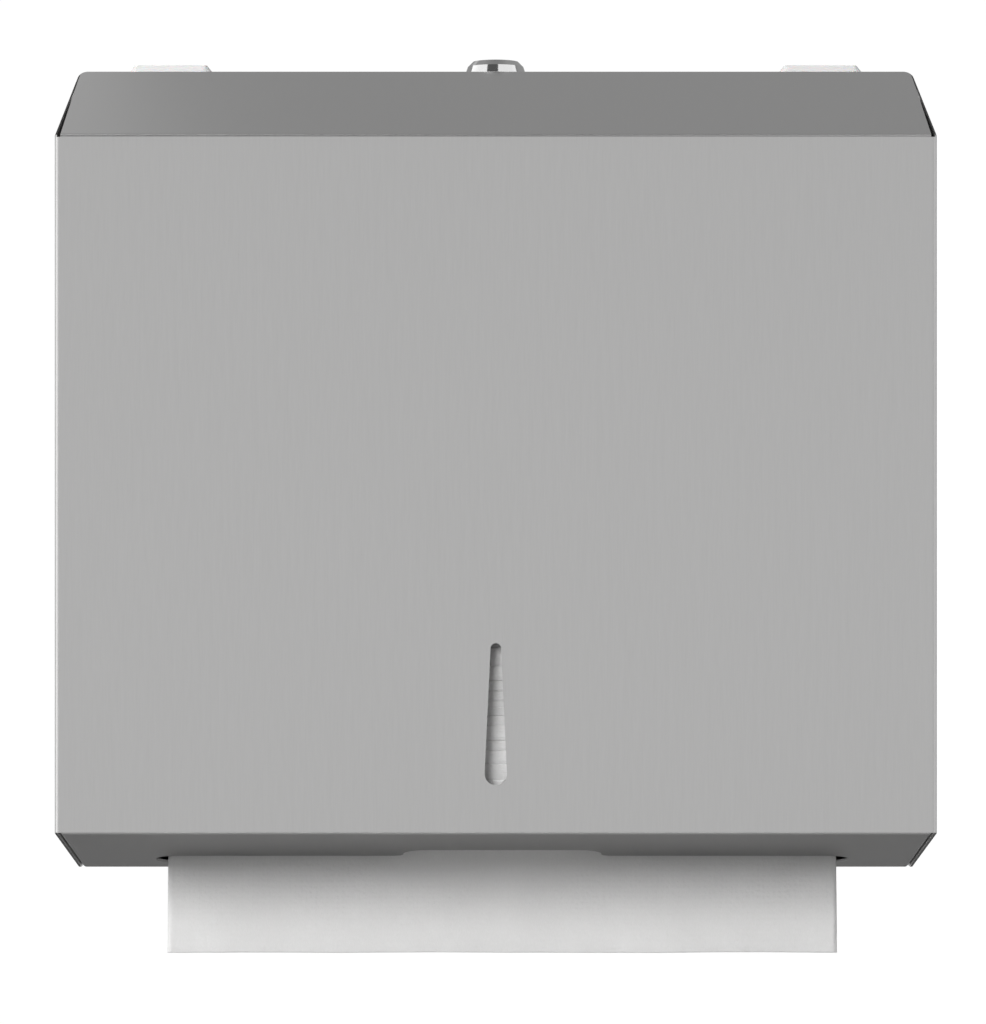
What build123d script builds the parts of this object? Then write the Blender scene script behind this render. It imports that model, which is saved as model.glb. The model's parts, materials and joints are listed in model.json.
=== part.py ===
from build123d import *
import math
import os

# Wall dispenser for folded paper towels, in millimetres.
# The wall is the plane y = 0, the cover faces -Y and +Z is up.
# The origin is the centre of the four wall holes, on the wall.

# Towels
TOWEL_WIDTH = 225.0
TOWEL_OFFSET = 2.2
TOWEL_THICKNESS = 1.2
TOWEL_HANG = 27.0
TOWEL_SWING = 3.0
TOWEL_DRAW = 30.0
STACK_HEIGHT = 112.0
STACK_FOLDS = 14
FOLD_BULGE = 1.6
STACK_ARCH = 8.0

# Cabinet
SIDE_ROOM = 29.5
HEIGHT = 271.0
DEPTH = 102.0
SHEET = 0.8
TOP_FLAT = 30.0
TOP_RISE = 28.65
BOTTOM_FLAT = 30.0
BOTTOM_DROP = 17.85

# Front cover
COVER_WALL_GAP = 3.0
COVER_BEND = 1.8
COVER_TOP_BEND = 1.1
RIDGE_CORNER = 3.0
FLANGE_HEEL_CORNER = 12.0
SEAM_WIDTH = 1.2
HEM = 8.0
HEM_EDGE_SHARE = 0.5
VIEW_SLOT_RISE = 15.25
VIEW_SLOT_HEIGHT = 45.6
VIEW_SLOT_TOP_WIDTH = 3.4
VIEW_SLOT_LOW_WIDTH = 7.2

# Back plate
BACK_SHEET = 1.0
BACK_BEND = 2.0
TOP_LIP = 6.0
WALL_HOLE_SPAN_X = 200.0
WALL_HOLE_SPAN_Z = 150.0
WALL_HOLE_RADIUS = 2.75

# Body pan
PAN_BEND = 1.4
PAN_LIP = 9.0
PAN_REAR_FLANGE = 12.0
CHEEK_FRONT_HEIGHT = 44.0
CHEEK_HEIGHT = 190.0
CHEEK_TOP_DEPTH = 46.0
CHEEK_CORNER = 8.0
SLOT_WALL_DISTANCE = 38.5
SLOT_END_RADIUS = 7.75
FINGER_NOTCH_WIDTH = 66.0
FINGER_NOTCH_DEPTH = 12.0
FINGER_NOTCH_RADIUS = 8.0
FINGER_NOTCH_BLEND = 3.5

# Towel guides
GUIDE_HEIGHT = 92.0
GUIDE_FOOT = 8.0
GUIDE_FRONT_CORNER = 14.0

# Cover pivots
PIVOT_BACK = 10.0
STUD_RADIUS = 2.2
BUSH_WALL = 1.2
BUSH_FLANGE = 1.0
BUSH_FLANGE_STEP = 1.0
CLIP_THICKNESS = 0.6
CLIP_WIDTH = 1.9
STUD_TIP = 1.5
STUD_WELD_STEP = 1.0
STUD_WELD_THICKNESS = 0.4

# Lock
BEZEL_RADIUS = 10.6
BEZEL_SHOULDER_RADIUS = 9.7
BEZEL_TOP_RADIUS = 7.9
BEZEL_HEIGHT = 4.8
BEZEL_EDGE = 0.4
BEZEL_SHOULDER = 1.8
BARREL_RADIUS = 7.5
BARREL_FLAT = 6.3
BARREL_LENGTH = 16.5
PLUG_RADIUS = 4.9
PLUG_HEAD_RADIUS = 5.9
PLUG_HEAD = 1.8
PLUG_RECESS = 0.3
KEYWAY_WIDTH = 1.7
KEYWAY_LENGTH = 7.6
KEYWAY_DEPTH = 15.0
TAIL_FLAT = 3.4
BACKING_WIDTH = 46.0
BACKING_SHEET = 1.2
BACKING_EDGE = 3.0
BACKING_CORNER = 3.0
WASHER_THICKNESS = 0.8
WASHER_RADIUS = 10.5
NUT_HEIGHT = 4.0
NUT_ACROSS_FLATS = 19.0
CAM_THICKNESS = 2.0
CAM_WIDTH = 9.0
CAM_HUB_RADIUS = 6.6
CAM_TIP_CORNER = 2.0
CAM_SCREW_RADIUS = 2.0
CAM_SCREW_LENGTH = 6.5
CAM_SCREW_HEAD_RADIUS = 4.2
CAM_SCREW_HEAD = 1.8

# Lock strike
STRIKE_SHEET = 1.5
STRIKE_WIDTH = 16.0
STRIKE_FOOT = 15.0
STRIKE_OVERHANG = 2.0

# Cover buffers
BUFFER_INSET = 30.5
BUFFER_LENGTH = 30.0
BUFFER_DEPTH = 15.0
BUFFER_HEIGHT = 3.2
BUFFER_BEVEL = 2.6
BUFFER_CORNER = 4.0
BUFFER_STEM_RADIUS = 5.0

# Clearances
PAN_SIDE_GAP = 0.45
LIP_GAP = 1.3
PIVOT_EDGE_GAP = 1.1
RUN_FIT = 0.05
REST_GAP = 0.3
SLOT_SIDE_GAP = 4.0
GUIDE_SIDE_GAP = 1.5
NUT_GAP = 2.0
CAM_WALL_GAP = 1.5
STRIKE_GAP = 0.8
STRIKE_SIDE_GAP = 1.5
OVERRUN = 5.0

# A face whose normal makes at least this cosine with a direction faces that way
FACING = 0.1

# Cabinet planes
WIDTH = TOWEL_WIDTH + 2 * SIDE_ROOM
half_width = WIDTH / 2
top_z = HEIGHT / 2
bottom_z = -HEIGHT / 2
front_y = -DEPTH
ridge_y = -TOP_FLAT
heel_y = -BOTTOM_FLAT
front_top_z = top_z - TOP_RISE
front_bottom_z = bottom_z + BOTTOM_DROP
bottom_fall = BOTTOM_DROP / (DEPTH - BOTTOM_FLAT)
bottom_stretch = math.hypot(1, bottom_fall)
cover_rear_y = -COVER_WALL_GAP
cover_inner_x = half_width - SHEET
hem_y = front_y + 2 * SHEET

# Body planes
pan_half = cover_inner_x - PAN_SIDE_GAP
pan_inner_x = pan_half - SHEET
pan_front_y = hem_y + LIP_GAP
pan_rear_y = -BACK_SHEET
cheek_front_z = front_bottom_z + CHEEK_FRONT_HEIGHT
cheek_top_z = bottom_z + CHEEK_HEIGHT
cheek_top_y = pan_rear_y - CHEEK_TOP_DEPTH
slot_half = TOWEL_WIDTH / 2 + SLOT_SIDE_GAP
slot_rear_y = -SLOT_WALL_DISTANCE
slot_y = slot_rear_y - SLOT_END_RADIUS
slot_front_end_y = slot_y - SLOT_END_RADIUS
slot_front_y = slot_front_end_y - FINGER_NOTCH_DEPTH
guide_x = slot_half + GUIDE_SIDE_GAP
guide_top_z = bottom_z + GUIDE_HEIGHT
stack_front_y = pan_front_y + SHEET + REST_GAP + FOLD_BULGE
stack_rear_y = pan_rear_y - SHEET - REST_GAP - FOLD_BULGE
towel_low_z = bottom_z - TOWEL_HANG

# Pivot axis
bush_radius = STUD_RADIUS + RUN_FIT + BUSH_WALL
bush_flange_radius = bush_radius + BUSH_FLANGE_STEP
pivot_y = front_y + PIVOT_BACK
pivot_lift = SHEET + bush_flange_radius + PIVOT_EDGE_GAP
pivot_z = front_bottom_z - PIVOT_BACK * bottom_fall + pivot_lift * bottom_stretch
bush_inner_x = pan_inner_x - BUSH_FLANGE
bush_outer_x = cover_inner_x - STUD_WELD_THICKNESS - REST_GAP
clip_outer_x = bush_inner_x - REST_GAP
clip_inner_x = clip_outer_x - CLIP_THICKNESS

# Lock axis and levels
lock_y = (cover_rear_y + ridge_y) / 2
bezel_top_z = top_z + BEZEL_HEIGHT
plug_top_z = bezel_top_z - PLUG_RECESS
plug_seat_z = plug_top_z - PLUG_HEAD
barrel_bottom_z = top_z - BARREL_LENGTH
backing_z = top_z - SHEET - BACKING_SHEET
washer_z = backing_z - WASHER_THICKNESS
nut_z = washer_z - NUT_HEIGHT
flange_z = nut_z - NUT_GAP
cam_top_z = barrel_bottom_z - REST_GAP
cam_bottom_z = cam_top_z - CAM_THICKNESS
cam_reach = -lock_y - BACK_SHEET - CAM_WALL_GAP
strike_x = BARREL_RADIUS + STRIKE_SIDE_GAP
strike_rear_y = lock_y - CAM_WIDTH / 2 - STRIKE_GAP
strike_front_y = strike_rear_y - STRIKE_SHEET
strike_top_z = flange_z - BACK_SHEET
strike_foot_z = strike_top_z - STRIKE_SHEET
strike_foot_y = strike_front_y + STRIKE_FOOT
top_flange_front_y = strike_front_y - STRIKE_GAP - BACK_SHEET
buffer_x = half_width - BUFFER_INSET


def bottom_outside(y):
    """Height of the bottom's outer face at depth y, on the slope and on the flat behind it."""
    return max(front_bottom_z - (y - front_y) * bottom_fall, bottom_z)


def bottom_inside(y, gap=0):
    """Height of the bottom's inner face at depth y, raised by a gap."""
    stretch = bottom_stretch if y < heel_y else 1
    return bottom_outside(y) + (SHEET + gap) * stretch


def inner_heel(gap=0):
    """Point where the inner faces of the sloped and the flat bottom meet, raised by a gap."""
    lift = SHEET + gap
    return (heel_y + lift * (bottom_stretch - 1) / bottom_fall, bottom_z + lift)


def arch_ceiling(y):
    """Height of the arch in the stack's underside, over the opening, at depth y."""
    chord = (slot_rear_y - slot_front_y) * bottom_stretch
    radius = (chord**2 / 4 + STACK_ARCH**2) / (2 * STACK_ARCH)
    centre_drop = (radius - STACK_ARCH) / bottom_stretch
    middle_y = (slot_rear_y + slot_front_y) / 2
    centre_y = middle_y - centre_drop * bottom_fall
    centre_z = bottom_inside(middle_y, REST_GAP) - centre_drop
    return centre_z + math.sqrt(radius**2 - (y - centre_y) ** 2)


def towel_top():
    """Height of the next towel's upper end, still drawn in between the folds of the stack."""
    return arch_ceiling(slot_y + TOWEL_THICKNESS / 2) - REST_GAP + TOWEL_DRAW


def yz_prism(points, half):
    """Solid with a straight-sided outline in Y and Z, centred on x = 0."""
    return extrude(make_face(Plane.YZ * Polyline(*points, close=True)), half, both=True)


def edges_at(shape, points):
    """The edge of a shape that lies nearest to each point."""
    return ShapeList([shape.edges().sort_by_distance(point)[0] for point in points])


def faces_towards(shape, *directions):
    """The faces of a shape that look along any of the directions."""
    return [
        face
        for face in shape.faces()
        if any(face.normal_at().dot(Vector(*direction)) > FACING for direction in directions)
    ]


def disc(radius, z_low, z_high):
    """Upright cylinder on the Z axis between two levels."""
    return Pos(0, 0, z_low) * Cylinder(radius, z_high - z_low, align=(Align.CENTER, Align.CENTER, Align.MIN))


def slab(size_x, size_y, z_low, z_high):
    """Upright block on the Z axis between two levels."""
    return Pos(0, 0, z_low) * Box(
        size_x, size_y, z_high - z_low, align=(Align.CENTER, Align.CENTER, Align.MIN)
    )


def rod(radius, x_low, x_high):
    """Cylinder on the X axis between two places."""
    return Rot(0, 90, 0) * disc(radius, x_low, x_high)


def beside_middle(shape):
    """The opening or a towel, moved to its place a little to the right of the middle."""
    return Pos(TOWEL_OFFSET, 0, 0) * shape


def mirrored(shape):
    """The same piece on the other side of the cabinet."""
    return mirror(shape, about=Plane.YZ)


def barrel_section(z_low, z_high, gap=0):
    """Round bar with two flats, the section of the lock's barrel, widened by a gap."""
    width = 2 * (BARREL_FLAT + gap)
    return disc(BARREL_RADIUS + gap, z_low, z_high) & slab(width, 2 * (BARREL_RADIUS + gap), z_low, z_high)


def tail_section(z_low, z_high, gap=0):
    """Round bar with two flats, the section of the plug's tail, widened by a gap."""
    width = 2 * (TAIL_FLAT + gap)
    return disc(PLUG_RADIUS + gap, z_low, z_high) & slab(width, 2 * (PLUG_RADIUS + gap), z_low, z_high)


def cover_block():
    """Outside of the cover as a solid, with its bends and ridge corners rounded."""
    block = yz_prism(
        [
            (cover_rear_y, top_z),
            (ridge_y, top_z),
            (front_y, front_top_z),
            (front_y, front_bottom_z),
            (heel_y, bottom_z),
            (cover_rear_y, bottom_z),
        ],
        half_width,
    )
    front_middle_z = (front_top_z + front_bottom_z) / 2
    bends = [(side * half_width, front_y, front_middle_z) for side in (-1, 1)]
    block = fillet(edges_at(block, [(half_width, lock_y, top_z), (-half_width, lock_y, top_z)]), RIDGE_CORNER)
    block = fillet(edges_at(block, bends), COVER_BEND)
    block = fillet(edges_at(block, [(0, front_y, front_top_z)]), COVER_TOP_BEND)
    return fillet(edges_at(block, [(0, cover_rear_y, bottom_z)]), FLANGE_HEEL_CORNER)


def seam_cutters():
    """Wedges that part the top slope from the side flanges, closing towards the ridge."""
    base_z = front_top_z - SHEET
    wedge = Polyline(
        (cover_inner_x, base_z),
        (cover_inner_x - SEAM_WIDTH, base_z),
        (cover_inner_x, top_z - RIDGE_CORNER),
        close=True,
    )
    right = extrude(Plane.XZ * make_face(wedge), DEPTH + OVERRUN)
    return [right, mirrored(right)]


def view_slot_cutter():
    """Slot through the front panel that widens downwards between two round ends."""
    low_radius = VIEW_SLOT_LOW_WIDTH / 2
    top_radius = VIEW_SLOT_TOP_WIDTH / 2
    low_z = front_bottom_z + VIEW_SLOT_RISE
    low_end = Pos(0, low_z + low_radius) * Rot(0, 0, -90) * Circle(low_radius)
    top_end = Pos(0, low_z + VIEW_SLOT_HEIGHT - top_radius) * Rot(0, 0, 90) * Circle(top_radius)
    outline = make_hull(low_end.edges() + top_end.edges())
    return extrude(Plane.XZ * outline, DEPTH + OVERRUN)


def cover_hem():
    """Strip folded back inside the lower edge of the front panel, with round edges."""
    low_z = bottom_outside(hem_y)
    strip = yz_prism(
        [
            (front_y + SHEET, bottom_outside(front_y + SHEET)),
            (hem_y, low_z),
            (hem_y, low_z + HEM),
            (front_y + SHEET, low_z + HEM),
        ],
        half_width - COVER_BEND - SHEET,
    )
    return fillet(edges_at(strip, [(0, hem_y, low_z)]), HEM_EDGE_SHARE * SHEET)


def front_cover():
    block = cover_block()
    shell = offset(block, amount=-SHEET, openings=faces_towards(block, (0, 1, 0), (0, 0, -1)))
    shell += cover_hem()
    shell -= seam_cutters()
    shell -= view_slot_cutter()
    low_z = top_z - SHEET - OVERRUN
    high_z = top_z + OVERRUN
    shell -= Pos(0, lock_y, 0) * barrel_section(low_z, high_z, RUN_FIT)
    stem_hole = disc(BUFFER_STEM_RADIUS + RUN_FIT, low_z, high_z)
    shell -= [Pos(side * buffer_x, lock_y, 0) * stem_hole for side in (-1, 1)]
    return shell


def back_plate():
    """Wall plate whose top is folded forward into a flange and down into a lip."""
    block = yz_prism(
        [(0, bottom_z), (0, flange_z), (top_flange_front_y, flange_z), (top_flange_front_y, bottom_z)],
        pan_half,
    )
    block = fillet(edges_at(block, [(0, 0, flange_z), (0, top_flange_front_y, flange_z)]), BACK_BEND)
    plate = offset(
        block, amount=-BACK_SHEET, openings=faces_towards(block, (1, 0, 0), (-1, 0, 0), (0, 0, -1))
    )
    lip_z = flange_z - TOP_LIP
    plate -= Pos(0, top_flange_front_y, 0) * slab(WIDTH, 2 * BACK_BEND, bottom_z - OVERRUN, lip_z)
    notch_low_z = lip_z - OVERRUN
    notch_high_z = flange_z + OVERRUN
    notch_depth = lock_y - top_flange_front_y + OVERRUN
    plate -= Pos(0, lock_y, 0) * disc(strike_x, notch_low_z, notch_high_z)
    plate -= Pos(0, lock_y - notch_depth / 2, 0) * slab(2 * strike_x, notch_depth, notch_low_z, notch_high_z)
    for place in GridLocations(WALL_HOLE_SPAN_X, WALL_HOLE_SPAN_Z, 2, 2):
        plate -= Plane.XZ * (place * Cylinder(WALL_HOLE_RADIUS, 2 * OVERRUN))
    return plate


def pan_block():
    """Outside of the body pan as a solid of full height, with its bends rounded."""
    front_low_z = bottom_outside(pan_front_y)
    block = yz_prism(
        [
            (pan_rear_y, bottom_z),
            (heel_y, bottom_z),
            (pan_front_y, front_low_z),
            (pan_front_y, cheek_top_z),
            (pan_rear_y, cheek_top_z),
        ],
        pan_half,
    )
    slope_middle = ((pan_front_y + heel_y) / 2, (front_low_z + bottom_z) / 2)
    flat_middle = ((heel_y + pan_rear_y) / 2, bottom_z)
    sides = [(side * pan_half, *middle) for side in (-1, 1) for middle in (slope_middle, flat_middle)]
    return fillet(edges_at(block, sides + [(0, pan_front_y, front_low_z)]), PAN_BEND)


def cheek_cutter():
    """What lies in front of and above the slanting edge of the cheeks."""
    return yz_prism(
        [
            (pan_front_y, cheek_front_z),
            (cheek_top_y, cheek_top_z),
            (cheek_top_y, cheek_top_z + OVERRUN),
            (pan_front_y - OVERRUN, cheek_top_z + OVERRUN),
            (pan_front_y - OVERRUN, cheek_front_z),
        ],
        WIDTH,
    )


def slot_cutter():
    """Dispensing opening: a slot with round ends, and a shallow finger notch in its front edge."""
    slot = Pos(0, slot_y) * SlotOverall(2 * slot_half, 2 * SLOT_END_RADIUS)
    notch = Pos(0, slot_front_y) * Rectangle(
        FINGER_NOTCH_WIDTH, slot_y - slot_front_y, align=(Align.CENTER, Align.MIN)
    )
    outline = slot + notch
    for level, radius in ((slot_front_y, FINGER_NOTCH_RADIUS), (slot_front_end_y, FINGER_NOTCH_BLEND)):
        corners = [(side * FINGER_NOTCH_WIDTH / 2, level, 0) for side in (-1, 1)]
        outline = fillet([outline.vertices().sort_by_distance(corner)[0] for corner in corners], radius)
    return Pos(0, 0, bottom_z - OVERRUN) * extrude(outline, BOTTOM_DROP + 2 * OVERRUN)


def body_pan():
    """Sloped bottom with the dispensing opening, side cheeks, front lip and rear flanges."""
    block = pan_block()
    pan = offset(block, amount=-SHEET, openings=faces_towards(block, (0, 0, 1)))
    lip_z = front_bottom_z + PAN_LIP
    high_z = cheek_top_z + OVERRUN
    window_depth = 2 * (SHEET + OVERRUN)
    pan -= Pos(0, pan_front_y, 0) * slab(2 * pan_inner_x, window_depth, lip_z, high_z)
    rear_half = pan_inner_x - PAN_REAR_FLANGE
    pan -= Pos(0, pan_rear_y, 0) * slab(
        2 * rear_half, window_depth, bottom_z + SHEET + PAN_REAR_FLANGE, high_z
    )
    pan -= cheek_cutter()
    cheek_x = pan_half - SHEET / 2
    corners = [(pan_front_y, cheek_front_z), (cheek_top_y, cheek_top_z)]
    pan = fillet(
        edges_at(pan, [(side * cheek_x, *corner) for side in (-1, 1) for corner in corners]), CHEEK_CORNER
    )
    pan -= beside_middle(slot_cutter())
    pan -= Pos(0, pivot_y, pivot_z) * rod(bush_radius + RUN_FIT, -WIDTH, WIDTH)
    return pan


def towel_guide():
    """Right-hand guide: an upright sheet with a foot along the sloped bottom."""
    rear_y = pan_rear_y - SHEET - REST_GAP
    heel = inner_heel()
    front_low = (stack_front_y, bottom_inside(stack_front_y))
    outline = [
        (rear_y, bottom_inside(rear_y)),
        heel,
        front_low,
        (stack_front_y, guide_top_z),
        (rear_y, guide_top_z),
    ]
    block = yz_prism(outline, GUIDE_FOOT / 2)
    block = fillet(edges_at(block, [(0, stack_front_y, guide_top_z)]), GUIDE_FRONT_CORNER)
    above_foot = yz_prism(
        [
            (OVERRUN, bottom_z - OVERRUN),
            (inner_heel(SHEET)[0], bottom_z - OVERRUN),
            inner_heel(SHEET),
            (front_y, bottom_outside(front_y) + 2 * SHEET * bottom_stretch),
            (front_y, guide_top_z + OVERRUN),
            (OVERRUN, guide_top_z + OVERRUN),
        ],
        GUIDE_FOOT / 2,
    )
    guide = block - Pos(SHEET, 0, 0) * above_foot
    return Pos(guide_x + GUIDE_FOOT / 2, 0, 0) * guide


def at_pivot(shape):
    """A piece made on the X axis, moved to the cover's pivot axis."""
    return Pos(0, pivot_y, pivot_z) * shape


def pivot_bush():
    """Right-hand plain bush, its flange on the inside of the cheek."""
    bush = rod(bush_flange_radius, bush_inner_x, pan_inner_x) + rod(bush_radius, pan_inner_x, bush_outer_x)
    return at_pivot(bush - rod(STUD_RADIUS + RUN_FIT, bush_inner_x - OVERRUN, bush_outer_x + OVERRUN))


def pivot_stud():
    """Right-hand stud with its weld collar on the cover's side flange."""
    collar_x = cover_inner_x - STUD_WELD_THICKNESS
    stud = rod(STUD_RADIUS, clip_inner_x - STUD_TIP, collar_x)
    return at_pivot(stud + rod(STUD_RADIUS + STUD_WELD_STEP, collar_x, cover_inner_x))


def pivot_clip():
    """Right-hand push-on ring that keeps the stud in its bush."""
    ring = rod(STUD_RADIUS + CLIP_WIDTH, clip_inner_x, clip_outer_x)
    return at_pivot(ring - rod(STUD_RADIUS + RUN_FIT, clip_inner_x - OVERRUN, clip_outer_x + OVERRUN))


def at_lock(shape):
    """A piece made on the Z axis, moved to the lock's axis."""
    return Pos(0, lock_y, 0) * shape


def lock_backing():
    """Stiffening plate under the flat top."""
    outline = RectangleRounded(BACKING_WIDTH, cover_rear_y - ridge_y - 2 * BACKING_EDGE, BACKING_CORNER)
    plate = Pos(0, 0, backing_z) * extrude(outline, BACKING_SHEET)
    return at_lock(plate - barrel_section(backing_z - OVERRUN, top_z + OVERRUN, RUN_FIT))


def lock_housing():
    """Bevelled bezel and flatted barrel, bored for the plug."""
    rim_z = top_z + BEZEL_EDGE
    shoulder_z = bezel_top_z - BEZEL_SHOULDER
    on_base = (Align.CENTER, Align.CENTER, Align.MIN)
    housing = disc(BEZEL_RADIUS, top_z, rim_z)
    housing += Pos(0, 0, rim_z) * Cone(BEZEL_RADIUS, BEZEL_SHOULDER_RADIUS, shoulder_z - rim_z, align=on_base)
    housing += Pos(0, 0, shoulder_z) * Cone(
        BEZEL_SHOULDER_RADIUS, BEZEL_TOP_RADIUS, BEZEL_SHOULDER, align=on_base
    )
    housing += barrel_section(barrel_bottom_z, top_z)
    housing -= disc(PLUG_RADIUS + RUN_FIT, barrel_bottom_z - OVERRUN, bezel_top_z + OVERRUN)
    housing -= disc(PLUG_HEAD_RADIUS + RUN_FIT, plug_seat_z - RUN_FIT, bezel_top_z + OVERRUN)
    return at_lock(housing)


def lock_washer():
    ring = disc(WASHER_RADIUS, washer_z, backing_z)
    return at_lock(ring - disc(BARREL_RADIUS + RUN_FIT, washer_z - OVERRUN, backing_z + OVERRUN))


def lock_nut():
    outline = RegularPolygon(NUT_ACROSS_FLATS / 2, 6, major_radius=False)
    nut = Pos(0, 0, nut_z) * extrude(outline, NUT_HEIGHT)
    return at_lock(nut - disc(BARREL_RADIUS + RUN_FIT, nut_z - OVERRUN, washer_z + OVERRUN))


def lock_plug():
    """Turning part of the lock: head, keyway and flatted tail."""
    plug = disc(PLUG_HEAD_RADIUS, plug_seat_z, plug_top_z) + disc(PLUG_RADIUS, cam_top_z, plug_seat_z)
    plug += tail_section(cam_bottom_z, cam_top_z)
    plug -= slab(KEYWAY_WIDTH, KEYWAY_LENGTH, plug_top_z - KEYWAY_DEPTH, plug_top_z + OVERRUN)
    screw_top_z = cam_bottom_z + CAM_SCREW_LENGTH
    plug -= disc(CAM_SCREW_RADIUS + RUN_FIT, cam_bottom_z - OVERRUN, screw_top_z + RUN_FIT)
    return at_lock(plug)


def lock_cam():
    """Cam on the plug's tail, pointing to the wall where the lock is open."""
    arm = Rectangle(CAM_WIDTH, cam_reach, align=(Align.CENTER, Align.MIN))
    arm = fillet(arm.vertices().group_by(Axis.Y)[-1], CAM_TIP_CORNER)
    cam = Pos(0, 0, cam_bottom_z) * extrude(arm + Circle(CAM_HUB_RADIUS), CAM_THICKNESS)
    return at_lock(cam - tail_section(cam_bottom_z - OVERRUN, cam_top_z + OVERRUN, RUN_FIT))


def cam_screw():
    shank = disc(CAM_SCREW_RADIUS, cam_bottom_z, cam_bottom_z + CAM_SCREW_LENGTH)
    return at_lock(shank + disc(CAM_SCREW_HEAD_RADIUS, cam_bottom_z - CAM_SCREW_HEAD, cam_bottom_z))


def lock_strike():
    """Angle under the top flange whose tab stands in front of the locked cam."""
    low_z = cam_bottom_z - STRIKE_OVERHANG
    angle = yz_prism(
        [
            (strike_front_y, low_z),
            (strike_rear_y, low_z),
            (strike_rear_y, strike_foot_z),
            (strike_foot_y, strike_foot_z),
            (strike_foot_y, strike_top_z),
            (strike_front_y, strike_top_z),
        ],
        STRIKE_WIDTH / 2,
    )
    angle = fillet(edges_at(angle, [(0, strike_front_y, strike_top_z)]), STRIKE_SHEET)
    return Pos(strike_x + STRIKE_WIDTH / 2, 0, 0) * angle


def cover_buffer():
    """Right-hand pad on the flat top, with the stem that rests on the top flange."""
    outline = RectangleRounded(BUFFER_LENGTH, BUFFER_DEPTH, BUFFER_CORNER)
    bevel_angle = math.degrees(math.atan2(BUFFER_BEVEL, BUFFER_HEIGHT))
    pad = Pos(0, 0, top_z) * extrude(outline, BUFFER_HEIGHT, taper=bevel_angle)
    pad += disc(BUFFER_STEM_RADIUS, flange_z + REST_GAP, top_z)
    return Pos(buffer_x, lock_y, 0) * pad


def fold_arcs(y, bulge, low_z, high_z):
    """Row of rounded folds up one face of the stack, standing out by the bulge."""
    pitch = (high_z - low_z) / STACK_FOLDS
    levels = [low_z + place * pitch for place in range(STACK_FOLDS)]
    return [ThreePointArc((y, z), (y + bulge, z + pitch / 2), (y, z + pitch)) for z in levels]


def towel_stack():
    """Stack of folded towels that lies on the sloped bottom, its folds to the front and rear."""
    front_z = bottom_inside(stack_front_y, REST_GAP)
    rear_z = bottom_inside(stack_rear_y, REST_GAP)
    heel_low = inner_heel(REST_GAP)
    heel_high = (heel_low[0], heel_low[1] + STACK_HEIGHT)
    arch_rear = (slot_rear_y, bottom_inside(slot_rear_y, REST_GAP))
    arch_front = (slot_front_y, bottom_inside(slot_front_y, REST_GAP))
    outline = [
        Polyline((stack_rear_y, rear_z), heel_low, arch_rear),
        SagittaArc(arch_rear, arch_front, -STACK_ARCH),
        Line(arch_front, (stack_front_y, front_z)),
        Polyline((stack_rear_y, rear_z + STACK_HEIGHT), heel_high, (stack_front_y, front_z + STACK_HEIGHT)),
    ]
    outline += fold_arcs(stack_front_y, -FOLD_BULGE, front_z, front_z + STACK_HEIGHT)
    outline += fold_arcs(stack_rear_y, FOLD_BULGE, rear_z, rear_z + STACK_HEIGHT)
    stack = extrude(make_face([Plane.YZ * line for line in outline]), TOWEL_WIDTH / 2, both=True)
    slit_width = TOWEL_THICKNESS + 2 * REST_GAP
    return stack - Pos(0, slot_y, 0) * slab(WIDTH, slit_width, bottom_z, towel_top() + REST_GAP)


def hanging_towel():
    """Next towel, folded double, that slides out between the folds and curves down below the opening."""
    half = TOWEL_THICKNESS / 2
    high_z = towel_top()
    bend_z = bottom_outside(slot_y)
    low_z = towel_low_z + half
    low_y = slot_y - TOWEL_SWING
    outline = [
        TangentArc((low_y - half, low_z), (slot_y - half, bend_z), tangent=(0, 1)),
        Polyline(
            (slot_y - half, bend_z), (slot_y - half, high_z), (slot_y + half, high_z), (slot_y + half, bend_z)
        ),
        TangentArc((low_y + half, low_z), (slot_y + half, bend_z), tangent=(0, 1)),
        ThreePointArc((low_y - half, low_z), (low_y, towel_low_z), (low_y + half, low_z)),
    ]
    return extrude(make_face([Plane.YZ * line for line in outline]), TOWEL_WIDTH / 2, both=True)


def pair(name, shape):
    """A right-hand piece and its mirror image, under the names of both sides."""
    return {f"{name}_right": shape, f"{name}_left": mirrored(shape)}


NODES = {
    "back_plate": back_plate(),
    "body_pan": body_pan(),
    "towel_guide_right": beside_middle(towel_guide()),
    "towel_guide_left": beside_middle(mirrored(towel_guide())),
    **pair("pivot_bush", pivot_bush()),
    "lock_strike": lock_strike(),
    "towel_stack": beside_middle(towel_stack()),
    "front_cover": front_cover(),
    **pair("pivot_stud", pivot_stud()),
    **pair("pivot_clip", pivot_clip()),
    **pair("cover_buffer", cover_buffer()),
    "lock_backing": lock_backing(),
    "lock_housing": lock_housing(),
    "lock_washer": lock_washer(),
    "lock_nut": lock_nut(),
    "lock_plug": lock_plug(),
    "lock_cam": lock_cam(),
    "cam_screw": cam_screw(),
    "hanging_towel": beside_middle(hanging_towel()),
}

os.makedirs("parts", exist_ok=True)
for name, shape in NODES.items():
    export_step(shape, f"parts/{name}.step")
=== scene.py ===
import json
import math
import random

import bmesh
import bpy
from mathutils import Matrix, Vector, noise


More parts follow.
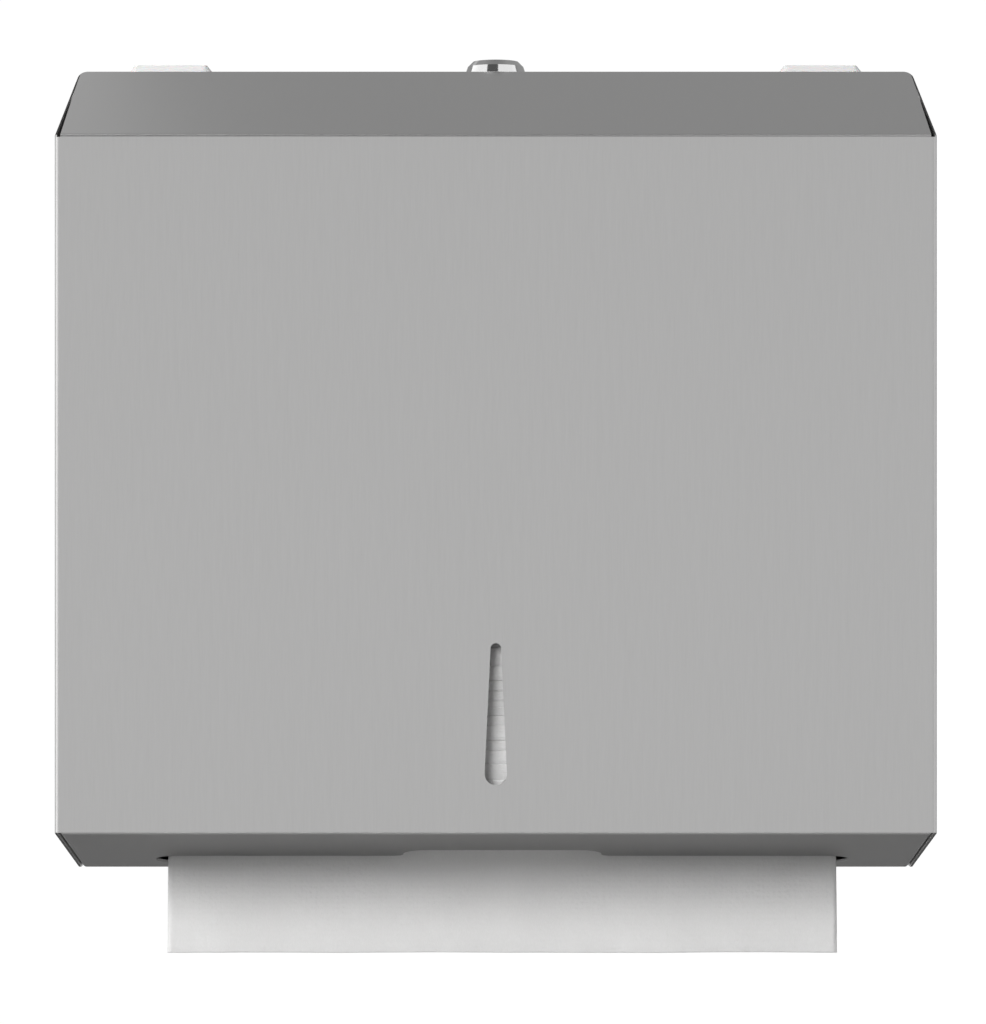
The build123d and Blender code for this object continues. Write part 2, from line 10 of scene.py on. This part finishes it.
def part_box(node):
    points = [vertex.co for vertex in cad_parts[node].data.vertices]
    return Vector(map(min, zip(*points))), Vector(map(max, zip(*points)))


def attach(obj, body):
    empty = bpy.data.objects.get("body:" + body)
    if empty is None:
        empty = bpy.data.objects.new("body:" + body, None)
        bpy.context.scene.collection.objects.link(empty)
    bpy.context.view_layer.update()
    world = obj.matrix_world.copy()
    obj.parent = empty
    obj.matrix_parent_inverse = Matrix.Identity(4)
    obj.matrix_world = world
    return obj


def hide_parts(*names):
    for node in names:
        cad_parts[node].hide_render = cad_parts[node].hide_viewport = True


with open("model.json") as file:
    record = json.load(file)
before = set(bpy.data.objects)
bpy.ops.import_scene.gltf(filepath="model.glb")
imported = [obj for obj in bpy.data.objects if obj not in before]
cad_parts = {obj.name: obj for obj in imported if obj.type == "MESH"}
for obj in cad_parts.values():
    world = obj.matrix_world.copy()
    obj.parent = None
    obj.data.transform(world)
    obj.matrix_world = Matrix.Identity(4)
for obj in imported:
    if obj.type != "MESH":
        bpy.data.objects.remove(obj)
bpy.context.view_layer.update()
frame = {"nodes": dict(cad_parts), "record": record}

MM = 0.001

# Sizes that follow the solids, in millimetres
FRONT_Y = -102.0
HEEL_Y = -30.0
FRONT_BOTTOM_Z = -117.65
BOTTOM_Z = -135.5
BOTTOM_FALL = (FRONT_BOTTOM_Z - BOTTOM_Z) / (HEEL_Y - FRONT_Y)
BOTTOM_STRETCH = math.hypot(1, BOTTOM_FALL)
SLOT_REAR_Y = -38.5
SLOT_FRONT_Y = -66.0
SLOT_Y = -46.25
FLANGE_INNER_X = 141.15
REST_LIFT = 1.1
STACK_ARCH = 8.0
STACK_HEIGHT = 112.0
STACK_FRONT_Y = -96.4
STACK_REAR_Y = -3.7
SLIT_HALF = 0.9
TOWEL_HALF_WIDTH = 112.5
TOWEL_OFFSET = 2.2
TOWEL_SWING = 3.0


def mesh_piece(name, points, faces, material, body):
    """A smooth mesh object from points in millimetres, riding on a body."""
    mesh = bpy.data.meshes.new(name)
    mesh.from_pydata([tuple(c * MM for c in point) for point in points], [], faces)
    mesh.validate()
    piece = bpy.data.objects.new(name, mesh)
    bpy.context.scene.collection.objects.link(piece)
    work = bmesh.new()
    work.from_mesh(mesh)
    bmesh.ops.recalc_face_normals(work, faces=work.faces)
    work.to_mesh(mesh)
    work.free()
    for polygon in mesh.polygons:
        polygon.use_smooth = True
    mesh.materials.append(material)
    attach(piece, body)
    return piece


# Materials


class Nodes:
    """Short calls for the nodes of one tree."""

    def __init__(self, tree):
        self.tree = tree

    def add(self, kind, **values):
        node = self.tree.nodes.new(kind)
        for key, value in values.items():
            setattr(node, key, value)
        return node

    def link(self, source, target):
        self.tree.links.new(source, target)

    def feed(self, socket, value):
        if isinstance(value, bpy.types.NodeSocket):
            self.link(value, socket)
        else:
            socket.default_value = value

    def math(self, operation, a, b=0.0, c=0.0):
        node = self.add("ShaderNodeMath", operation=operation)
        for socket, value in zip(node.inputs, (a, b, c)):
            self.feed(socket, value)
        return node.outputs[0]

    def total(self, *terms):
        """Sum of values, each given with its weight."""
        value, weight = terms[0]
        result = self.math("MULTIPLY", value, weight)
        for value, weight in terms[1:]:
            result = self.math("MULTIPLY_ADD", value, weight, result)
        return result

    def over(self, value, limit):
        """1 where a value is further from zero than the limit, on either side."""
        return self.math("GREATER_THAN", self.math("ABSOLUTE", value), limit)

    def split(self, vector):
        node = self.add("ShaderNodeSeparateXYZ")
        self.link(vector, node.inputs[0])
        return node.outputs

    def join(self, x, y, z):
        node = self.add("ShaderNodeCombineXYZ")
        for socket, value in zip(node.inputs, (x, y, z)):
            self.feed(socket, value)
        return node.outputs[0]

    def scaled(self, vector, *factors):
        node = self.add("ShaderNodeVectorMath", operation="MULTIPLY")
        self.link(vector, node.inputs[0])
        node.inputs[1].default_value = factors
        return node.outputs[0]

    def turned(self, vector, kind, source, target):
        """A vector or a normal, taken from one space to another."""
        node = self.add("ShaderNodeVectorTransform", vector_type=kind)
        node.convert_from = source
        node.convert_to = target
        self.link(vector, node.inputs[0])
        return node.outputs[0]

    def noise(self, vector, scale, detail=2.0, roughness=0.5):
        node = self.add("ShaderNodeTexNoise")
        self.link(vector, node.inputs["Vector"])
        node.inputs["Scale"].default_value = scale
        node.inputs["Detail"].default_value = detail
        node.inputs["Roughness"].default_value = roughness
        return node.outputs["Fac"]

    def cells(self, vector, scale, feature="F1", randomness=1.0):
        node = self.add("ShaderNodeTexVoronoi", feature=feature)
        self.link(vector, node.inputs["Vector"])
        node.inputs["Scale"].default_value = scale
        node.inputs["Randomness"].default_value = randomness
        return node.outputs["Distance"]

    def spread(self, value, low, high, from_low=0.0, from_high=1.0):
        """A value's range, moved on to another range and kept inside it."""
        node = self.add("ShaderNodeMapRange")
        self.link(value, node.inputs["Value"])
        limits = {"From Min": from_low, "From Max": from_high, "To Min": low, "To Max": high}
        for key, number in limits.items():
            node.inputs[key].default_value = number
        return node.outputs["Result"]

    def blend(self, factor, low, high):
        """A colour between two colours."""
        node = self.add("ShaderNodeMix", data_type="RGBA")
        self.link(factor, node.inputs["Factor"])
        self.feed(node.inputs[6], low)
        self.feed(node.inputs[7], high)
        return node.outputs[2]

    def seen(self):
        """1 for rays that show a background to the eye: straight, mirrored or through something clear."""
        path = self.add("ShaderNodeLightPath").outputs
        indirect = self.math("MAXIMUM", path["Is Glossy Ray"], path["Is Transmission Ray"])
        return self.math("MAXIMUM", path["Is Camera Ray"], indirect)


class Shader(Nodes):
    """A new node material, with its shader and the place on its object."""

    def __init__(self, name):
        self.material = bpy.data.materials.new(name)
        self.material.use_nodes = True
        super().__init__(self.material.node_tree)
        self.bsdf = self.tree.nodes["Principled BSDF"]
        self.place = self.add("ShaderNodeTexCoord").outputs["Object"]

    def bump(self, height, strength, distance):
        node = self.add("ShaderNodeBump")
        node.inputs["Strength"].default_value = strength
        node.inputs["Distance"].default_value = distance
        self.link(height, node.inputs["Height"])
        self.link(node.outputs["Normal"], self.bsdf.inputs["Normal"])

    def set(self, **values):
        for key, value in values.items():
            self.feed(self.bsdf.inputs[key.replace("_", " ")], value)


def grey(level, warmth=0.0):
    return (level, level * (1 - warmth / 2), level * (1 - warmth), 1.0)


def brushed_steel(name, level, contrast, roughness, rough_spread, edge_sheen):
    """Stainless sheet with an upright grain: streaks, soft bands, a sideways sheen, and cut edges that are
    rougher and painted near-black as shade.
    """
    warmth = 0.008
    side_limit, rim_limit = 0.7, 0.5
    streak_squeeze, band_squeeze = 0.045, 0.05
    painted_edge_shade_share, cut_edge_roughness = 0.1, 0.3
    s = Shader(name)
    normal = s.turned(s.add("ShaderNodeNewGeometry").outputs["Normal"], "NORMAL", "WORLD", "OBJECT")
    normal_x, _, normal_z = s.split(normal)
    x, y, z = s.split(s.place)

    # The grain runs up the front and over the slopes, and up the flanges at the sides
    sideways = s.over(normal_x, side_limit)
    facing = s.math("SUBTRACT", 1.0, sideways)
    across = s.total((x, facing), (y, sideways))
    along = s.math("ADD", z, s.math("MULTIPLY", y, facing))
    streak_place = s.join(across, s.math("MULTIPLY", along, streak_squeeze), sideways)
    band_place = s.join(across, s.math("MULTIPLY", along, band_squeeze), sideways)
    fine = s.noise(streak_place, scale=2100.0, detail=3.0, roughness=0.6)
    bands = s.noise(band_place, scale=560.0)
    smear = s.noise(s.place, scale=22.0)
    grain = s.total((fine, 0.65), (bands, 0.35))
    tone = s.spread(s.total((grain, 0.92), (smear, 0.08)), 0.0, 1.0, from_low=0.25, from_high=0.75)

    # The rims of the flanges are cut and not brushed: they are rougher, and their colour is darkened near
    # to black as painted shade of the seam beside them
    cut_edge_and_painted_shade = s.math("MULTIPLY", s.over(x, FLANGE_INNER_X * MM), s.over(normal_z, rim_limit))

    dark, light = [grey(level * (1 + change), warmth) for change in (-contrast, contrast)]
    # Painted shade: the cut edges take a near-black colour that stands in for the shade of the seam
    colour = s.blend(cut_edge_and_painted_shade, s.blend(tone, dark, light), grey(level * painted_edge_shade_share, warmth))
    low, high = roughness - rough_spread, roughness + rough_spread
    rough = s.spread(grain, low, high, from_low=0.25, from_high=0.75)
    s.set(
        Base_Color=colour,
        Metallic=1.0,
        Roughness=s.math("MULTIPLY_ADD", cut_edge_and_painted_shade, cut_edge_roughness, rough),
        Specular_Tint=grey(edge_sheen),
        Anisotropic=0.8,
        Tangent=s.turned(s.join(facing, sideways, 0.0), "VECTOR", "OBJECT", "WORLD"),
    )
    s.bump(grain, strength=0.08, distance=0.05 * MM)
    return s.material


def chrome(name):
    """Bright plate with a very light haze and hairline scratches."""
    s = Shader(name)
    haze = s.noise(s.place, scale=180.0, detail=4.0, roughness=0.6)
    hair = s.noise(s.scaled(s.place, 1.0, 0.08, 0.08), scale=5200.0, detail=2.0, roughness=0.6)
    s.set(
        Base_Color=s.blend(haze, grey(0.72), grey(0.82)),
        Metallic=1.0,
        Roughness=s.math("ADD", s.spread(haze, 0.05, 0.12), s.spread(hair, -0.015, 0.02)),
    )
    s.bump(hair, strength=0.04, distance=0.04 * MM)
    return s.material


def plated(name):
    """Zinc plate: dull, mottled and faintly blue and yellow."""
    bluish, yellowish = (0.50, 0.51, 0.53, 1.0), (0.62, 0.60, 0.54, 1.0)
    s = Shader(name)
    mottle = s.cells(s.place, scale=420.0)
    cloud = s.noise(s.place, scale=90.0, detail=4.0, roughness=0.6)
    s.set(
        Base_Color=s.blend(cloud, bluish, yellowish),
        Metallic=1.0,
        Roughness=s.math("ADD", s.spread(mottle, 0.30, 0.44), s.spread(cloud, -0.04, 0.05)),
    )
    s.bump(s.math("ADD", mottle, cloud), strength=0.08, distance=0.05 * MM)
    return s.material


def nylon(name, level, warmth):
    """Moulded nylon: slightly uneven, with a fine sparked surface."""
    s = Shader(name)
    cloud = s.noise(s.place, scale=60.0, detail=3.0)
    spark = s.noise(s.place, scale=2200.0, detail=2.0, roughness=0.6)
    s.set(
        Base_Color=s.blend(cloud, grey(level * 0.96, warmth), grey(level * 1.03, warmth)),
        Roughness=s.math("ADD", s.spread(spark, 0.36, 0.52), s.spread(cloud, -0.03, 0.03)),
        Subsurface_Weight=0.08,
        Subsurface_Scale=0.002,
    )
    s.bump(spark, strength=0.12, distance=0.05 * MM)
    return s.material


def paper(name, level, plies):
    """Towel paper with crepe, embossed dots, quilting and fibres, and with the edges of plies if asked."""
    warmth = 0.01
    s = Shader(name)
    crepe = s.noise(s.scaled(s.place, 0.35, 1.0, 1.0), scale=1500.0, detail=3.0, roughness=0.6)
    dots = s.cells(s.scaled(s.place, 1.0, 0.4, 1.0), scale=560.0, feature="SMOOTH_F1", randomness=0.35)
    fibre = s.noise(s.scaled(s.place, 1.0, 1.0, 0.3), scale=3400.0, detail=2.0, roughness=0.7)
    cloud = s.noise(s.place, scale=55.0, detail=3.0, roughness=0.6)
    quilt = s.noise(s.scaled(s.place, 1.0, 1.0, 0.6), scale=260.0, detail=2.0, roughness=0.6)
    bosses = s.spread(dots, 1.0, 0.0, from_low=0.05, from_high=0.6)
    height = s.total((bosses, 0.9), (crepe, 1.0), (fibre, 0.5), (quilt, 3.0))
    tone = s.total((fibre, 0.5), (cloud, 0.5))
    if plies:
        lines = s.noise(s.scaled(s.place, 0.02, 0.02, 1.0), scale=2600.0, detail=2.0, roughness=0.6)
        height = s.total((height, 1.0), (lines, 2.0))
        tone = s.total((tone, 0.6), (lines, 0.4))
    tone = s.spread(tone, 0.0, 1.0, from_low=0.3, from_high=0.7)
    s.set(
        Base_Color=s.blend(tone, grey(level * 0.95, warmth), grey(level * 1.03, warmth)),
        Roughness=s.spread(cloud, 0.86, 0.96),
        Specular_IOR_Level=0.2,
        Sheen_Weight=0.08,
        Sheen_Roughness=0.6,
    )
    s.bump(height, strength=0.7, distance=0.16 * MM)
    return s.material


COVER_STEEL = brushed_steel(
    "cover_steel_brushed", level=0.64, contrast=0.035, roughness=0.31, rough_spread=0.04, edge_sheen=1.0
)
# The body's steel is the cover's stainless, only rougher. It is written darker and with a dimmed grazing
# reflection as painted shade for the pan under the cabinet
BODY_STEEL_PAINTED_SHADE = brushed_steel(
    "body_steel_brushed_painted_shade", level=0.50, contrast=0.05, roughness=0.50, rough_spread=0.05, edge_sheen=0.5
)
TOWEL_PAPER = paper("towel_paper_sheet", level=0.80, plies=False)
STACK_PAPER = paper("towel_paper_stack", level=0.80, plies=True)
FINISHES = {
    "cover_steel": COVER_STEEL,
    "body_steel": BODY_STEEL_PAINTED_SHADE,
    "lock_chrome": chrome("lock_chrome_plate"),
    "plated_steel": plated("plated_steel_zinc"),
    "buffer_nylon": nylon("buffer_nylon_white", level=0.74, warmth=0.01),
    "bush_nylon": nylon("bush_nylon_natural", level=0.70, warmth=0.05),
    "towel_paper": TOWEL_PAPER,
}
for part in frame["record"]["subparts"]:
    node = frame["nodes"][part["node"]]
    node.data.materials.clear()
    node.data.materials.append(FINISHES[part["material_slot"]])


# Towels, in millimetres

# Ranges for the draws of one layer of the stack
STACK_SEED = 7
LAYER_HEIGHT = (3.0, 6.8)
FRONT_REACH = (0.75, 1.0)
REAR_REACH = (0.2, 0.9)
SIDE_INSET = (0.1, 0.9)
NOSE_ROUND = (0.12, 0.35)

FOLD_BULGE = 1.5
FREE_BULGE = 1.6
FREE_Z = -107.0
LAYER_GAP = 0.03
LAYER_STEP = 4.0
LAYER_LEAST_STEPS = 4
LAYER_COLUMNS = 9
NOSE_STEPS = 6
SLIT_SHARE = 0.34
SLIT_MARGIN = 0.5
PLY = 0.25
FOLD_HALF = 0.4
FOLD_STEPS = 8
SHEET_ROWS = 44
SHEET_COLUMNS = 150
SHEET_TOP_MARGIN = 0.3
SHEET_SIDE_MARGIN = 0.2

# Unevenness of the paper: its amount, and the lengths of its swells
EDGE_SWELL = (0.4, (45.0, 0.025, 90.0))
FACE_SWELL = (0.35, (60.0, 35.0, 1 / 3))
LONG_WAVE = (0.9, (38.0, 60.0))
SHORT_WAVE = (0.35, (11.0, 25.0))
FOLD_LIFT = (0.35, (55.0,))


def swell(kind, *place, beside=()):
    """Smooth unevenness at a place. The numbers beside the place keep one kind apart from another."""
    amount, lengths = kind
    scaled = [along / length for along, length in zip(place, lengths)]
    return amount * noise.noise(Vector((*scaled, *beside)))


def bottom_line(y):
    """Height on which the stack lies at depth y."""
    if y > HEEL_Y:
        return BOTTOM_Z + REST_LIFT
    return FRONT_BOTTOM_Z - (y - FRONT_Y) * BOTTOM_FALL + REST_LIFT * BOTTOM_STRETCH


ARCH_HALF = (SLOT_REAR_Y - SLOT_FRONT_Y) / 2 * BOTTOM_STRETCH
ARCH_RADIUS = (ARCH_HALF**2 + STACK_ARCH**2) / (2 * STACK_ARCH)


def arch(y):
    """Rise of the lowest towels over the opening at depth y."""
    off = (y - (SLOT_REAR_Y + SLOT_FRONT_Y) / 2) * BOTTOM_STRETCH
    if abs(off) >= ARCH_HALF:
        return 0.0
    return math.sqrt(ARCH_RADIUS**2 - off**2) - (ARCH_RADIUS - STACK_ARCH)


def stack_height(y, share):
    """Height inside the stack at depth y, from its underside (0) to its top (1)."""
    low = bottom_line(y) + arch(y)
    high = bottom_line(y) + STACK_HEIGHT
    return low + share * (high - low)


def wrap(faces, first, columns, size):
    """Adds the faces between neighbouring rings of points."""
    for column in range(columns):
        for i in range(size):
            a = first + column * size + i
            b = first + column * size + (i + 1) % size
            faces.append((a, b, b + size, a + size))


def folded_layer(points, faces, low, high, rear_y, front_y, half_width, nose):
    """One folded towel of the stack: a closed slab with round noses, between two shares of its height."""
    rear_in = rear_y - nose
    front_in = front_y + nose
    middle, reach = (low + high) / 2, (high - low) / 2
    count = max(LAYER_LEAST_STEPS, int((rear_in - front_in) / LAYER_STEP))
    depths = [rear_in + (front_in - rear_in) * i / count for i in range(count + 1)]
    angles = [math.pi / 2 - math.pi * step / NOSE_STEPS for step in range(1, NOSE_STEPS)]
    ring = [(y, high) for y in depths]
    ring += [(front_in - nose * math.cos(angle), middle + reach * math.sin(angle)) for angle in angles]
    ring += [(y, low) for y in reversed(depths)]
    ring += [(rear_in + nose * math.cos(angle), middle - reach * math.sin(angle)) for angle in angles]
    first, size = len(points), len(ring)
    spaces = LAYER_COLUMNS - 1
    for column in range(LAYER_COLUMNS):
        x = TOWEL_OFFSET + half_width * (2 * column / spaces - 1)
        for y, share in ring:
            shift = swell(EDGE_SWELL, x, middle, y)
            ripple = swell(FACE_SWELL, x, y, share)
            points.append((x, y + shift, stack_height(y, share) + ripple))
    wrap(faces, first, spaces, size)
    faces.append(tuple(first + i for i in range(size)))
    faces.append(tuple(first + spaces * size + i for i in reversed(range(size))))


def towel_stack():
    """The folded towels in the cabinet, split below where the next towel slides out."""
    draw = random.Random(STACK_SEED)
    shares = [0.0]
    while shares[-1] < 1.0:
        shares.append(shares[-1] + draw.uniform(*LAYER_HEIGHT) / STACK_HEIGHT)
    shares = [share / shares[-1] for share in shares]
    gap = LAYER_GAP / STACK_HEIGHT
    slit = SLIT_HALF + SLIT_MARGIN
    points, faces = [], []
    for low, high in zip(shares, shares[1:]):
        bulge = FREE_BULGE if stack_height(STACK_FRONT_Y, low) > FREE_Z else FOLD_BULGE
        front_y = STACK_FRONT_Y - bulge * draw.uniform(*FRONT_REACH)
        rear_y = STACK_REAR_Y + FOLD_BULGE * draw.uniform(*REAR_REACH)
        half = TOWEL_HALF_WIDTH - draw.uniform(*SIDE_INSET)
        nose = draw.uniform(*NOSE_ROUND)
        spans = [(rear_y, front_y)]
        if low < SLIT_SHARE:
            spans = [(rear_y, SLOT_Y + slit), (SLOT_Y - slit, front_y)]
        for rear, front in spans:
            folded_layer(points, faces, low + gap, high - gap, rear, front, half, nose)
    piece = mesh_piece("folded_towel_stack", points, faces, STACK_PAPER, "base")
    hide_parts("towel_stack")


def hanging_towel():
    """The next towel: one sheet folded double, whose fold hangs below the opening."""
    low, high = [[c / MM for c in corner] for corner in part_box("hanging_towel")]
    (low_x, _, low_z), (high_x, _, high_z) = low, high
    bend_z = FRONT_BOTTOM_Z - (SLOT_Y - FRONT_Y) * BOTTOM_FALL
    top_z, fold_z = high_z - SHEET_TOP_MARGIN, low_z + FOLD_HALF
    left_x, right_x = low_x + SHEET_SIDE_MARGIN, high_x - SHEET_SIDE_MARGIN

    def middle(z):
        """Depth of the towel's middle at height z: upright in the stack, swung forward below it."""
        if z >= bend_z:
            return SLOT_Y
        return SLOT_Y - TOWEL_SWING + TOWEL_SWING * ((z - low_z) / (bend_z - low_z)) ** 2

    def line(offset):
        """One face of the sheet, down the front, round the fold and up the rear."""
        down = [(-offset, top_z + (fold_z - top_z) * i / SHEET_ROWS) for i in range(SHEET_ROWS + 1)]
        angles = [math.pi * i / FOLD_STEPS for i in range(1, FOLD_STEPS)]
        turn = [(-offset * math.cos(angle), fold_z - offset * math.sin(angle)) for angle in angles]
        up = [(offset, z) for _, z in reversed(down)]
        return down + turn + up

    outer, inner = line(FOLD_HALF), line(FOLD_HALF - PLY)
    ring = outer + list(reversed(inner))
    size = len(ring)
    points, faces = [], []
    for column in range(SHEET_COLUMNS + 1):
        x = left_x + (right_x - left_x) * column / SHEET_COLUMNS
        for off, z in ring:
            free = max(0.0, min(1.0, (bend_z - z) / (bend_z - low_z)))
            wave = swell(LONG_WAVE, x, z, beside=(2.0,)) + swell(SHORT_WAVE, x, z, beside=(5.0,))
            lift = max(0.0, free * swell(FOLD_LIFT, x, beside=(1.0, 9.0)))
            points.append((x, middle(z) + off + wave * free, z + lift))
    wrap(faces, 0, SHEET_COLUMNS, size)
    for base in (0, SHEET_COLUMNS * size):
        for i in range(len(outer) - 1):
            faces.append((base + i, base + i + 1, base + size - 2 - i, base + size - 1 - i))
    piece = mesh_piece("next_towel_sheet", points, faces, TOWEL_PAPER, "towel")
    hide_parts("hanging_towel")


towel_stack()
hanging_towel()


# Studio, in metres

FLOOR_Z = -1.2
FLOOR_RADIUS = 16.0
FLOOR_SIDES = 64
FLOOR_GLOW = 0.26
FLOOR_GLOW_SPREAD = 0.01
BACKDROP_Y = 2.5
BACKDROP_HALF = 0.95
BACKDROP_WHITE_HALF = 0.575
BACKDROP_ROUND = 0.1
WORLD_BACK = 0.33
WORLD_FRONT = 0.30
WORLD_HIGH = 0.10
WORLD_FILL = 0.12
CAMERA_PLACE = (-0.0009, -1.302, -0.0146)
CAMERA_LENS = 131.2
CAMERA_SENSOR = 36.0
CAMERA_REACH = 50.0

# Place, target, width, height and radiance of each lamp
LAMPS = {
    "front_fill": ((0.0, -3.0, 0.0), (0.0, 0.0, 0.0), 5.0, 1.8, 0.385),
    "soft_key": ((-1.5, -2.1, 0.9), (0.0, 0.0, -0.14), 2.0, 0.9, 2.1),
    "left_side": ((-1.8, -0.5, 0.1), (0.0, -0.5, 0.1), 2.1, 1.3, 1.1),
    "right_side": ((1.8, -0.5, 0.1), (0.0, -0.5, 0.1), 2.1, 1.3, 0.5),
    "left_high": ((-1.25, -0.2, 1.15), (0.0, 0.0, 0.1), 1.9, 0.9, 1.0),
    "left_glint": ((-0.25, 0.33, 0.43), (-0.1, -0.05, 0.12), 0.16, 0.16, 0.2),
    "left_top": ((-0.55, -0.45, 1.35), (0.0, 0.0, 0.1), 0.6, 0.5, 1.6),
    "right_high": ((0.8, -0.5, 1.2), (0.0, 0.0, 0.1), 1.75, 0.8, 0.9),
}
KEY_BEAM = math.radians(70)


def softbox(name, place, target, width, height, radiance):
    """Area lamp of an even brightness."""
    lamp = bpy.data.lights.new(name, "AREA")
    lamp.shape = "RECTANGLE"
    lamp.size = width
    lamp.size_y = height
    lamp.energy = radiance * math.pi * width * height
    obj = bpy.data.objects.new(name, lamp)
    bpy.context.scene.collection.objects.link(obj)
    obj.location = place
    obj.rotation_euler = (Vector(target) - obj.location).to_track_quat("-Z", "Y").to_euler()
    return obj


def stage_plane(name, corners, material):
    """A flat piece of the studio, with one face."""
    mesh = bpy.data.meshes.new(name)
    mesh.from_pydata(corners, [], [tuple(range(len(corners)))])
    obj = bpy.data.objects.new(name, mesh)
    bpy.context.scene.collection.objects.link(obj)
    mesh.materials.append(material)
    return obj


def add_glow(s, glow):
    """Gives a stage material a glow that rays of sight meet."""
    light = s.add("ShaderNodeEmission")
    light.inputs["Color"].default_value = grey(1.0)
    s.link(s.math("MULTIPLY", s.seen(), glow), light.inputs["Strength"])
    both = s.add("ShaderNodeAddShader")
    s.link(s.bsdf.outputs[0], both.inputs[0])
    s.link(light.outputs[0], both.inputs[1])
    s.link(both.outputs[0], s.tree.nodes["Material Output"].inputs["Surface"])


def floor_material():
    """Pale, slightly uneven floor."""
    s = Shader("stage_floor")
    colour = s.blend(s.noise(s.place, scale=1.5), grey(0.50), grey(0.54))
    s.set(Base_Color=colour, Roughness=0.85, Specular_IOR_Level=0.1)
    low, high = FLOOR_GLOW - FLOOR_GLOW_SPREAD, FLOOR_GLOW + FLOOR_GLOW_SPREAD
    add_glow(s, s.spread(s.noise(s.place, scale=0.8), low, high))
    return s.material


def backdrop_material():
    """White behind the object, fading into the studio's grey."""
    s = Shader("stage_backdrop")
    s.set(Base_Color=grey(0.03), Roughness=0.9, Specular_IOR_Level=0.1)
    x, _, z = s.split(s.place)
    away = s.math("SMOOTH_MAX", s.math("ABSOLUTE", x), s.math("ABSOLUTE", z), BACKDROP_ROUND)
    add_glow(s, s.spread(away, 1.0, WORLD_BACK, from_low=BACKDROP_WHITE_HALF, from_high=BACKDROP_HALF))
    return s.material


def studio_world():
    """Pale behind and low in front, darker high in front, and fainter as a light for dull surfaces."""
    world = bpy.data.worlds.new("studio")
    bpy.context.scene.world = world
    world.use_nodes = True
    background = world.node_tree.nodes["Background"]
    s = Nodes(world.node_tree)
    _, y, z = s.split(s.add("ShaderNodeTexCoord").outputs["Generated"])
    front = s.spread(z, WORLD_FRONT, WORLD_HIGH, from_low=0.3, from_high=0.5)
    behind = s.spread(y, 0.0, 1.0, from_low=-0.2, from_high=0.3)
    level = s.math("MULTIPLY_ADD", s.math("SUBTRACT", WORLD_BACK, front), behind, front)
    excess = s.math("SUBTRACT", level, WORLD_FILL)
    s.link(s.math("MULTIPLY_ADD", excess, s.seen(), WORLD_FILL), background.inputs["Strength"])
    background.inputs["Color"].default_value = grey(1.0)


def photo_camera():
    """Level camera in front of the cabinet."""
    camera = bpy.data.cameras.new("camera")
    camera.sensor_fit = "VERTICAL"
    camera.sensor_height = CAMERA_SENSOR
    camera.lens = CAMERA_LENS
    camera.clip_end = CAMERA_REACH
    obj = bpy.data.objects.new("camera", camera)
    bpy.context.scene.collection.objects.link(obj)
    obj.location = CAMERA_PLACE
    obj.rotation_euler = (math.radians(90), 0, 0)
    bpy.context.scene.camera = obj


turns = [math.tau * i / FLOOR_SIDES for i in range(FLOOR_SIDES)]
rim = [(FLOOR_RADIUS * math.cos(turn), FLOOR_RADIUS * math.sin(turn), FLOOR_Z) for turn in turns]
stage_plane("floor", rim, floor_material())
signs = ((-1, -1), (1, -1), (1, 1), (-1, 1))
corners = [(x * BACKDROP_HALF, 0.0, z * BACKDROP_HALF) for x, z in signs]
backdrop = stage_plane("backdrop", corners, backdrop_material())
backdrop.location = (0.0, BACKDROP_Y, CAMERA_PLACE[2])

# The key lamp has a narrow beam and isn't mirrored, and the glint lamp itself isn't seen
lamps = {name: softbox(name, *values) for name, values in LAMPS.items()}
lamps["soft_key"].data.spread = KEY_BEAM
lamps["soft_key"].visible_glossy = False
lamps["left_glint"].visible_camera = False

studio_world()
photo_camera()
bpy.context.scene.view_settings.view_transform = "Standard"
